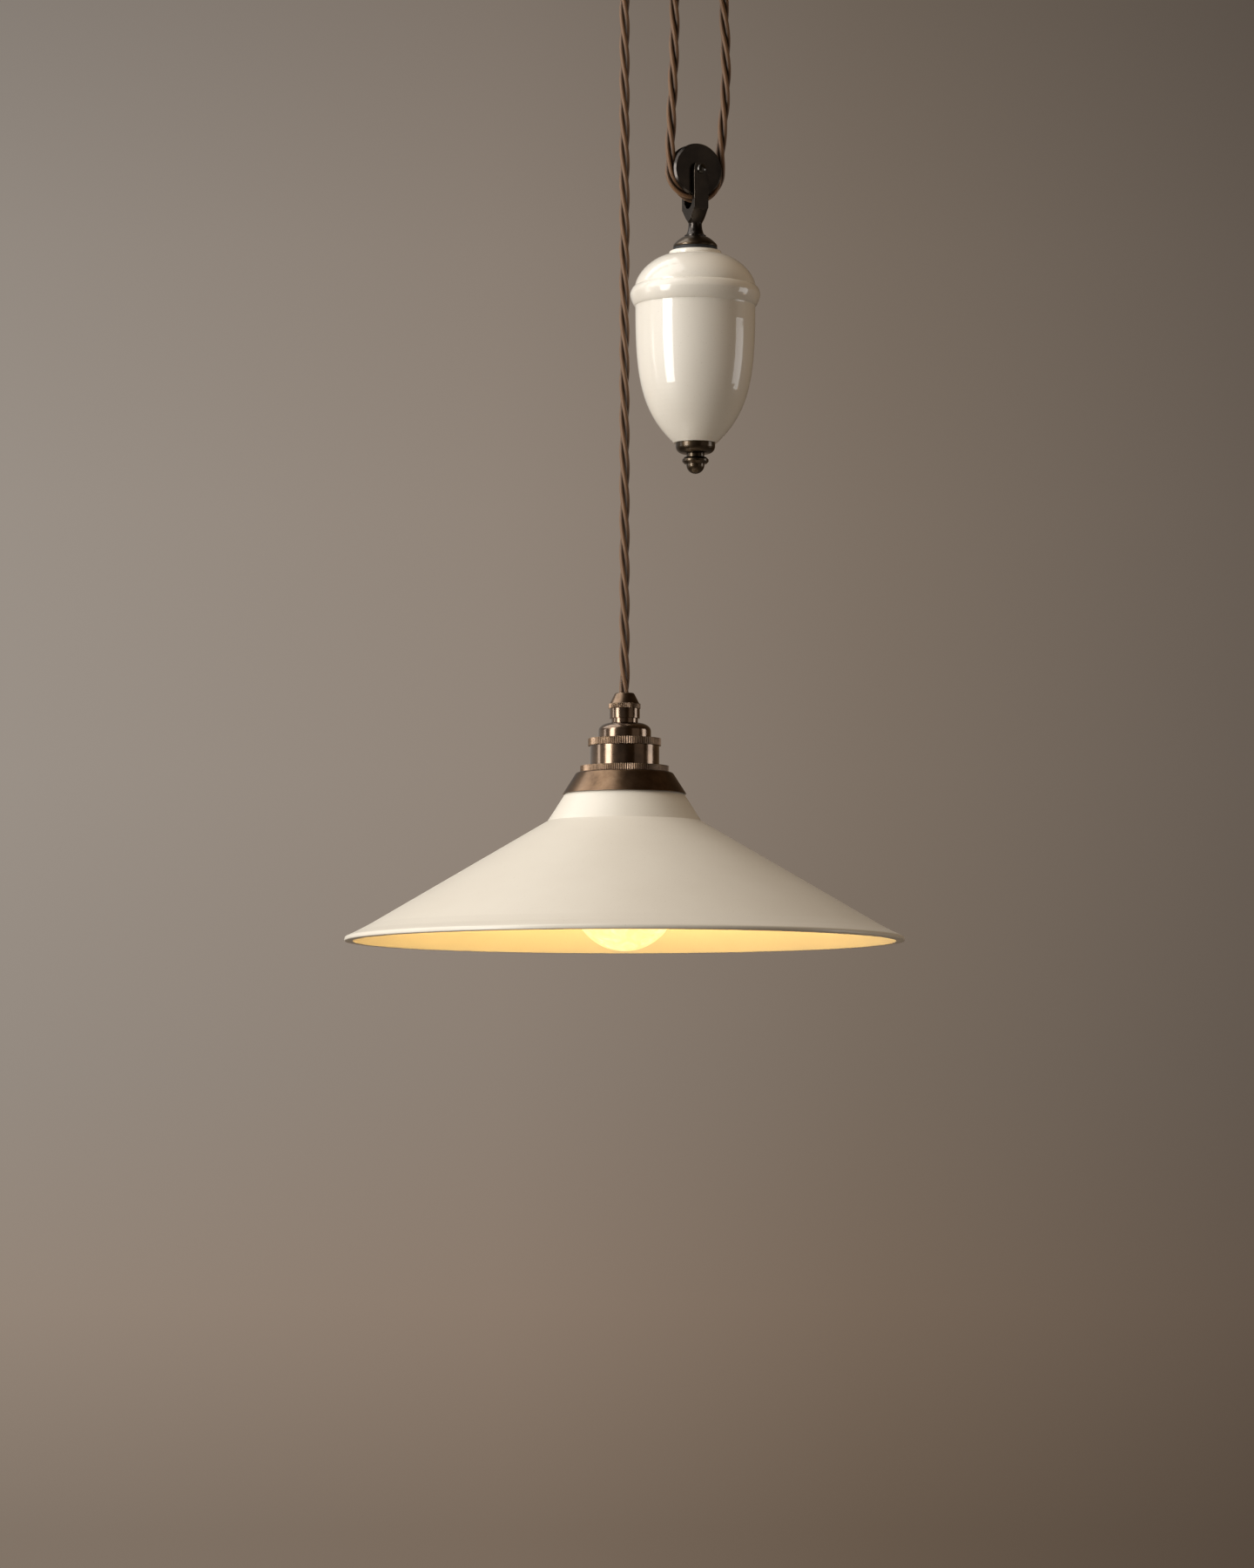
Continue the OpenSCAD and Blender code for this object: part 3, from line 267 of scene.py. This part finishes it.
CLEAR_COAT_IOR = 1.5
LACQUER_ROUGH = 0.12
LATHE_STRETCH = (25, 25, 2600)
EDGE_WEAR_GLINT_R = 0.0002
SPECK_COLOUR = (0.42, 0.33, 0.22)
BULB_GLOW = 1.15
# threads crossed in going once round a core, and the share of them in going as far along it
BRAID_THREADS = 8
BRAID_SLOPE = 0.75


def turned_metal(name, dark, mid, light, rub_and_glint, low_rough, high_rough,
                 lacquer=0.4, rounding=0.0003):
    """Lathe-turned metal under clear lacquer, with a patina rubbed through along its edges; the
    lighter edges also serve as painted highlights.
    """
    s = Shader(name, metallic=1.0, coat_weight=lacquer, coat_roughness=LACQUER_ROUGH,
               coat_ior=CLEAR_COAT_IOR)
    cloud = s.noise(70, detail=5, roughness=0.6)
    patina = s.ramp(cloud, (0.3, dark), (0.52, mid), (0.75, light))
    patina = s.mix(s.span(s.noise(900, detail=2), 0.0, 0.35), patina, dark)
    # edges are painted lighter: partly rubbed-through wear, partly painted highlight along the
    # edges
    worn_and_glint_mask = s.ramp(s.edges(EDGE_WEAR_GLINT_R), (0.02, 0.0), (0.16, 1.0))
    patchy = s.ramp(s.noise(400), (0.35, 0.1), (0.65, 0.7))
    s.plug("Base Color", s.mix(s.maths("MULTIPLY", worn_and_glint_mask, patchy), patina, rub_and_glint))
    lines = s.noise(1.0, roughness=0.7, stretch=LATHE_STRETCH)
    s.plug("Roughness", s.span(s.mix(0.5, cloud, lines), low_rough, high_rough))
    # the rounded normal spreads a highlight over every tooth of a knurl
    rounded = s.rounded(rounding)
    s.plug("Normal", s.bump(lines, 0.12, 0.00005, rounded))
    s.plug("Coat Normal", rounded)


def glaze(name, body, thin, wobble, coat, coat_rough):
    """Glazed porcelain: a warm cream body with fine specks, under a slightly uneven coat."""
    s = Shader(name, roughness=0.38, coat_weight=coat, coat_roughness=coat_rough,
               coat_ior=CLEAR_COAT_IOR, specular_ior_level=0.35)
    clouds = s.ramp(s.noise(14, detail=4, roughness=0.55), (0.35, body), (0.7, thin))
    specks = s.ramp(s.noise(1500, detail=1), (0.71, 0.0), (0.78, 0.35))
    s.plug("Base Color", s.mix(specks, clouds, SPECK_COLOUR))
    swell = s.bump(s.noise(22, detail=1), 1.0, wobble)
    s.plug("Normal", s.bump(s.noise(420, detail=2), 0.18, 0.00004, swell))
    s.plug("Coat Normal", swell)


def plain(name, colour, variation, scale, rough, metallic=0.0, relief=0.00004, **more):
    """A moulded, cast or plated surface: two near tones, uneven gloss and a fine relief."""
    s = Shader(name, metallic=metallic, **more)
    fac = s.noise(scale, detail=4)
    other = tuple(c * variation for c in colour)
    s.plug("Base Color", s.ramp(fac, (0.3, colour), (0.7, other)))
    s.plug("Roughness", s.span(fac, rough * 0.8, min(1.0, rough * 1.25)))
    s.plug("Normal", s.bump(s.noise(scale * 6, detail=2), 0.3, relief))


def braid(name, dark, light):
    """Silky braid: threads of two ways round a core pass over and under each other."""
    s = Shader(name, roughness=0.42, specular_ior_level=0.45, sheen_weight=0.12,
               sheen_roughness=0.4, sheen_tint=(1.0, 0.7, 0.45))
    uv_map = s.add("ShaderNodeUVMap", uv_map="UVMap").outputs[0]
    uv = s.add("ShaderNodeSeparateXYZ", {0: uv_map}).outputs
    around = s.maths("MULTIPLY", uv["X"], BRAID_THREADS)
    along = s.maths("MULTIPLY", uv["Y"], BRAID_THREADS * BRAID_SLOPE)
    cells, ridges = [], []
    for way in (s.maths("ADD", around, along), s.maths("SUBTRACT", around, along)):
        cells.append(s.maths("FLOOR", way))
        # each thread is 1 along its middle and falls to 0 at its edges
        across = s.maths("SUBTRACT", s.maths("FRACT", way), 0.5)
        fall = s.maths("MULTIPLY", s.maths("MULTIPLY", across, across), 4.0)
        ridges.append(s.maths("SUBTRACT", 1.0, fall))
    over = s.maths("PINGPONG", s.maths("ADD", *cells), 1.0)
    top = s.add("ShaderNodeMix", {0: over, 2: ridges[0], 3: ridges[1]}).outputs[0]
    crown = s.maths("MULTIPLY", s.maths("MULTIPLY", *ridges), 0.5)
    height = s.maths("ADD", s.maths("MULTIPLY", top, 0.5), crown)
    fibres = s.noise(9000, detail=2)
    # thread colour runs from dark to light with the weave's height: partly the braid's own weave,
    # partly painted shade in the gaps between threads
    weave_and_gap_shade = s.maths("MULTIPLY", height, s.span(fibres, 0.6, 1.2))
    # U is 0 on the outside of the flex and 0.5 where the cores touch, which is painted darker as
    # painted shade in the grooves between the cores
    outside = s.maths("COSINE", s.maths("MULTIPLY", uv["X"], 2 * math.pi))
    groove_shade_fac = s.span(outside, 0.0, 1.0, start=-0.6, end=0.8)
    s.plug("Base Color", s.mix(groove_shade_fac, dark, s.ramp(weave_and_gap_shade, (0.1, dark), (0.7, light))))
    s.plug("Normal", s.bump(fibres, 0.3, 0.00002, s.bump(height, 0.8, 0.00010)))


def lit_glass(name):
    """The pearl glass of a bulb that is on: a warm even glow with faint swirls."""
    s = Shader(name, base_color=(0.9, 0.8, 0.6), roughness=0.12, emission_strength=BULB_GLOW)
    swirl = s.noise(95, detail=5, roughness=0.6, distortion=1.6)
    s.plug("Emission Color", s.ramp(
        swirl, (0.35, (1.0, 0.66, 0.22)), (0.55, (1.0, 0.80, 0.34)), (0.68, (1.0, 0.90, 0.50))))
    s.plug("Normal", s.bump(swirl, 0.2, 0.0002))


# dark, middle and light tones of the patina, and the lighter tone painted along edges, which is
# both rubbed-off wear and painted highlight
ANTIQUE_BRASS = (
    (0.085, 0.052, 0.031), (0.21, 0.136, 0.084), (0.32, 0.212, 0.135), (0.62, 0.41, 0.23))
BRUSHED_BRASS = (
    (0.080, 0.048, 0.028), (0.200, 0.125, 0.074), (0.30, 0.195, 0.120), (0.58, 0.37, 0.20))
BROWNED_BRASS = (
    (0.034, 0.024, 0.014), (0.085, 0.060, 0.037), (0.14, 0.100, 0.062), (0.42, 0.29, 0.17))
BLACKENED_BRONZE = (
    (0.030, 0.026, 0.024), (0.056, 0.047, 0.041), (0.085, 0.070, 0.056), (0.44, 0.35, 0.26))
AXLE_BRONZE = (
    (0.035, 0.031, 0.028), (0.060, 0.053, 0.048), (0.090, 0.080, 0.070), (0.30, 0.25, 0.20))
PLAIN_BRASS = (
    (0.42, 0.28, 0.10), (0.62, 0.42, 0.17), (0.75, 0.54, 0.25), (0.85, 0.66, 0.36))

# each is named by its slot in the record, or by its finish below
turned_metal("antique_brass", *ANTIQUE_BRASS, 0.13, 0.27, lacquer=0.9)
turned_metal("knurled_brass", *ANTIQUE_BRASS, 0.24, 0.36, rounding=0.0006)
turned_metal("brushed_brass", *BRUSHED_BRASS, 0.25, 0.36, lacquer=0.1)
turned_metal("browned_brass", *BROWNED_BRASS, 0.26, 0.40)
turned_metal("blackened_bronze", *BLACKENED_BRONZE, 0.18, 0.32, lacquer=0.2)
turned_metal("axle_bronze", *AXLE_BRONZE, 0.12, 0.20, lacquer=1.0)
turned_metal("plain_brass", *PLAIN_BRASS, 0.18, 0.36)
plain("zinc_steel", (0.56, 0.57, 0.58), 0.8, 260, 0.36, metallic=1.0)
glaze("shade_porcelain", (0.82, 0.755, 0.645), (0.86, 0.80, 0.69), 0.00035, 0.4, 0.30)
# the counterweight's glaze is set lighter than the shade's, partly as painted light that brightens
# its middle where the lamps leave it dark
glaze("weight_porcelain", (0.89, 0.83, 0.725), (0.92, 0.865, 0.765), 0.00025, 1.0, 0.035)
glaze("insulator_porcelain", (0.72, 0.69, 0.62), (0.80, 0.78, 0.72), 0.0001, 1.0, 0.05)
plain("terminal_plastic", (0.78, 0.76, 0.70), 0.9, 120, 0.45, specular_ior_level=0.5)
plain("black_rubber", (0.012, 0.012, 0.012), 2.0, 500, 0.6)
plain("lead_fill", (0.10, 0.10, 0.105), 1.8, 350, 0.6, metallic=1.0, relief=0.0004)
braid("brown_braid", (0.016, 0.007, 0.003), (0.30, 0.155, 0.072))
plain("core_live", (0.11, 0.045, 0.018), 0.85, 300, 0.4)
plain("core_neutral", (0.015, 0.06, 0.30), 0.85, 300, 0.4)
plain("core_earth", (0.12, 0.34, 0.03), 0.85, 300, 0.4)
lit_glass("bulb_glass")
plain("bulb_cap_metal", (0.60, 0.58, 0.55), 0.85, 300, 0.3, metallic=1.0)
plain("bulb_black_glass", (0.008, 0.008, 0.010), 1.5, 200, 0.15)

# kinds of one slot's metal that differ from piece to piece
FINISHES = {
    "browned_brass": ("top_fork_cap", "weight_fork_cap", "bottom_cup", "finial"),
    "axle_bronze": ("top_axle", "weight_axle"),
    "knurled_brass": ("lampholder_collar", "shade_ring_outer", "cord_grip_nut", "anchor_grip_nut"),
    "brushed_brass": ("gallery",),
}
FINISH_OF = {node: finish for finish, nodes in FINISHES.items() for node in nodes}
SLOT_OF = {part["node"]: part["material_slot"] for part in frame["record"]["subparts"]}


def dress(node):
    """Gives a carried-over CAD node its own finish, or the material of its slot in the record."""
    data = frame["nodes"][node].data
    data.materials.clear()
    data.materials.append(MATERIALS[FINISH_OF.get(node, SLOT_OF[node])])


for node_name in frame["nodes"]:
    dress(node_name)

# ---- Twisted flex -------------------------------------------------------------------------

LAY = 59
TWIST_START = 79.4
CORES = 3
CORE_GAP = 0.04
CORE_RING_R = CORE_D / math.sqrt(3) + CORE_GAP
CORE_SIDES = 16
STEP = 1.4
SIDEWAYS = Vector((0, 1, 0))


def smooth_line(points, first, last):
    """Near even steps on a Catmull-Rom curve through the points, with the two end directions."""
    points = [Vector(p) for p in points]
    before = points[0] - Vector(first) * (points[1] - points[0]).length
    after = points[-1] + Vector(last) * (points[-1] - points[-2]).length
    chain = [before, *points, after]
    line = []
    for i in range(1, len(chain) - 2):
        p0, p1, p2, p3 = chain[i - 1: i + 3]
        count = max(2, round((p2 - p1).length / STEP))
        for k in range(count):
            t = k / count
            line.append(0.5 * (2 * p1 + (p2 - p0) * t + (2 * p0 - 5 * p1 + 4 * p2 - p3) * t * t
                               + (3 * p1 - p0 - 3 * p2 + p3) * t ** 3))
    line.append(points[-1])
    return line


def half_turn(cx, cz, over):
    """The flex round a pulley, from the strand on the left to the one on the right."""
    count = round(math.pi * PITCH_R / STEP)
    rise = PITCH_R if over else -PITCH_R
    angles = [math.pi * i / count for i in range(count + 1)]
    return [Vector((cx - PITCH_R * math.cos(a), 0, cz + rise * math.sin(a))) for a in angles]


def leant(z):
    """How far the counterweight's two strands lean towards the lamp at a height."""
    t = max(0.0, LEAN_FROM - z) / (LEAN_FROM - WEIGHT_Z)
    return -WEIGHT_LEAN * (1 - math.cos(math.pi * t)) / 2


def line_length(line):
    return sum((b - a).length for a, b in zip(line, line[1:]))


def core_rings(line, start, core, first, last):
    """Rings of one core along the line; start is the flex's length before the line."""
    rings = []
    travelled = start
    for i, point in enumerate(line):
        if i:
            travelled += (point - line[i - 1]).length
        if i == 0:
            along = Vector(first)
        elif i == len(line) - 1:
            along = Vector(last)
        else:
            along = (line[i + 1] - line[i - 1]).normalized()
        out = along.cross(SIDEWAYS).normalized()
        turn = math.radians(TWIST_START + 360 * travelled / LAY + 360 * core / CORES)
        centre = point + CORE_RING_R * (math.cos(turn) * out + math.sin(turn) * SIDEWAYS)
        ring = []
        for k in range(CORE_SIDES):
            a = turn + 2 * math.pi * k / CORE_SIDES
            ring.append(centre + CORE_D / 2 * (math.cos(a) * out + math.sin(a) * SIDEWAYS))
        rings.append((ring, travelled))
    return rings


def add_core(mesh, uv_layer, rings):
    """One closed core: its skin with a braid map, and a flat cap at each end."""
    girth = math.pi * CORE_D
    made = [[mesh.verts.new(mm(*p)) for p in ring] for ring, _ in rings]
    for i in range(len(made) - 1):
        for k in range(CORE_SIDES):
            n = (k + 1) % CORE_SIDES
            face = mesh.faces.new((made[i][k], made[i][n], made[i + 1][n], made[i + 1][k]))
            face.smooth = True
            corners = ((k, i), (k + 1, i), (k + 1, i + 1), (k, i + 1))
            for loop, (u, row) in zip(face.loops, corners):
                loop[uv_layer].uv = (u / CORE_SIDES, rings[row][1] / girth)
    for cap in (mesh.faces.new(list(reversed(made[0]))), mesh.faces.new(made[-1])):
        for edge in cap.edges:
            edge.smooth = False


def make_flex(name, line, start, first, last, node):
    """Three braided cores laid together along the line, in the place of a CAD node."""
    mesh = bmesh.new()
    uv_layer = mesh.loops.layers.uv.new("UVMap")
    for core in range(CORES):
        add_core(mesh, uv_layer, core_rings(line, start, core, first, last))
    bmesh.ops.recalc_face_normals(mesh, faces=mesh.faces)
    data = mesh_from(name, mesh)
    data.materials.append(MATERIALS["brown_braid"])
    piece = new_object(name, data)
    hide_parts(node)
    return piece


def build_flex():
    up, down = (0, 0, 1), (0, 0, -1)
    lamp = smooth_line([(LAMP_X, 0, z) for z in reversed(LAMP_ROUTE)], up, up)
    over = half_turn(TOP_X, TOP_Z, True)
    middle = smooth_line([(MIDDLE_X + leant(z), 0, z) for z in WEIGHT_ROUTE], down, down)
    under = half_turn(WEIGHT_X, WEIGHT_Z, False)
    anchor = smooth_line(
        [(ANCHOR_X + x + leant(z), 0, z) for x, z in reversed(ANCHOR_ROUTE)], up, up)
    runs = [
        ("lamp_flex", lamp, up, up, "flex_lamp_drop"),
        ("top_wrap_flex", over, up, down, "flex_top_wrap"),
        ("middle_flex", middle, down, down, "flex_weight_drop"),
        ("weight_wrap_flex", under, down, up, "flex_weight_wrap"),
        ("anchor_flex", anchor, up, up, "flex_anchor_drop"),
    ]
    pieces = {}
    start = 0.0
    for name, line, first, last, node in runs:
        pieces[name] = make_flex(name, line, start, first, last, node)
        start += line_length(line)
    # in the photograph this strand throws no shadow on the counterweight
    pieces["lamp_flex"].visible_shadow = False
    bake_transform(pieces["lamp_flex"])
    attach(pieces["top_wrap_flex"], "root")
    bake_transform(pieces["middle_flex"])
    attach(pieces["weight_wrap_flex"], "counterweight")
    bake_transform(pieces["anchor_flex"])


build_flex()

# ---- Light and stage, in metres and watts -------------------------------------------------

LIGHT_TARGET = mm(LAMP_X, 0, -354)
LIGHT_DISTANCE = 1.5
WHITE = (1, 1, 1)
BULB_POWER = 2.6
BULB_COLOUR = (1.0, 0.655, 0.215)
BULB_LIGHT_R = mm(BULB_R - 4)
FLOOR_Z = -2.3
FLOOR_HALF = 4.0


def softbox(name, side, height, size, power, colour=WHITE, mirrored=True):
    """A rectangular light aimed at the pendant; size is its width and height.

    side is degrees round to the camera's right, height is degrees above level, and mirrored
    says whether shiny surfaces reflect the light.
    """
    data = bpy.data.lights.new(name, "AREA")
    data.shape = "RECTANGLE"
    data.size, data.size_y = size
    data.energy = power
    data.color = colour
    light = new_object(name, data)
    a, e = math.radians(side), math.radians(height)
    away = math.cos(e) * (math.sin(a) * RIGHT - math.cos(a) * FORWARD) + math.sin(e) * UP
    light.location = LIGHT_TARGET + away * LIGHT_DISTANCE
    light.visible_glossy = mirrored
    aim(light, -away)


def make_lights():
    softbox("key_box", -55, 7, (0.55, 1.3), 19, (1.0, 0.98, 0.95))
    softbox("left_strip", -94, -2, (0.26, 0.55), 1.0)
    softbox("right_strip", 95, -1, (0.55, 0.55), 2.2)
    softbox("right_glow", 88, 50, (1.4, 1.4), 3.2, (1.0, 0.66, 0.32), mirrored=False)
    softbox("front_card", 50, 0, (0.9, 1.3), 0.7, (1.0, 0.88, 0.76))
    softbox("top_box", -90, 50, (1.7, 1.5), 16, (1.0, 0.985, 0.96))


def bulb_light():
    """The lit bulb's light on the shade, which moves with the lamp."""
    data = bpy.data.lights.new("bulb_light", "POINT")
    data.energy = BULB_POWER
    data.color = BULB_COLOUR
    data.shadow_soft_size = BULB_LIGHT_R
    light = new_object("bulb_light", data)
    light.location = mm(LAMP_X, 0, BULB_CENTRE_Z)
    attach(light, "lamp")
    # this light is inside the glass, which would keep it in
    frame["nodes"]["bulb_glass"].visible_shadow = False


def make_world():
    """A taupe studio: lighter on the camera's left, darker on its right, and at top and foot."""
    world = bpy.data.worlds.new("studio")
    world.use_nodes = True
    bpy.context.scene.world = world
    w = Nodes(world.node_tree)
    direction = w.add("ShaderNodeTexCoord").outputs["Generated"]

    def toned(axis, low, high, *stops):
        """A ramp over how far a direction points along an axis, from low to high."""
        return w.ramp(w.span(w.dot(direction, axis), 0.0, 1.0, start=low, end=high), *stops)

    # the picture shows 0.445 to 0.555 of this, and beyond it the wall is lit on the left only
    walls = toned(
        RIGHT, -1.0, 1.0, (0.0, (0.42, 0.385, 0.35)), (0.445, (0.325, 0.281, 0.242)),
        (0.489, (0.283, 0.232, 0.190)), (0.522, (0.202, 0.160, 0.125)),
        (0.555, (0.137, 0.109, 0.087)), (0.65, (0.110, 0.072, 0.040)),
        (1.0, (0.080, 0.048, 0.022)))
    # the tones of the wall at each height, from under the lamp to above the counterweight
    heights = toned(
        UP, -0.06, 0.21, (0.0, (0.68, 0.62, 0.56)), (0.15, (0.91, 0.84, 0.78)),
        (0.3, (0.92, 0.91, 0.90)), (0.5, 1.0), (0.67, 0.99), (0.84, 0.90), (1.0, 0.74))
    # the room is darker behind the camera, which keeps the metal's dark parts dark
    depths = toned(FORWARD, -1.0, 1.0, (0.0, 0.45), (0.35, 0.60), (0.6, 1.0))
    weave_and_gap_shade = w.mix(1.0, w.mix(1.0, walls, heights, "MULTIPLY"), depths, "MULTIPLY")
    w.tree.links.new(weave_and_gap_shade, w.tree.nodes["Background"].inputs["Color"])


def make_floor():
    """A plain pale floor, well below the lamp."""
    mesh = bmesh.new()
    bmesh.ops.create_grid(mesh, x_segments=8, y_segments=8, size=FLOOR_HALF)
    data = mesh_from("floor", mesh)
    s = Shader("floor", roughness=0.8)
    s.plug("Base Color", s.ramp(s.noise(3), (0.3, (0.50, 0.46, 0.41)), (0.7, (0.54, 0.50, 0.45))))
    data.materials.append(s.material)
    floor = new_object("floor", data)
    floor.location = (0, 0, FLOOR_Z)


make_lights()
bulb_light()
make_world()
make_floor()
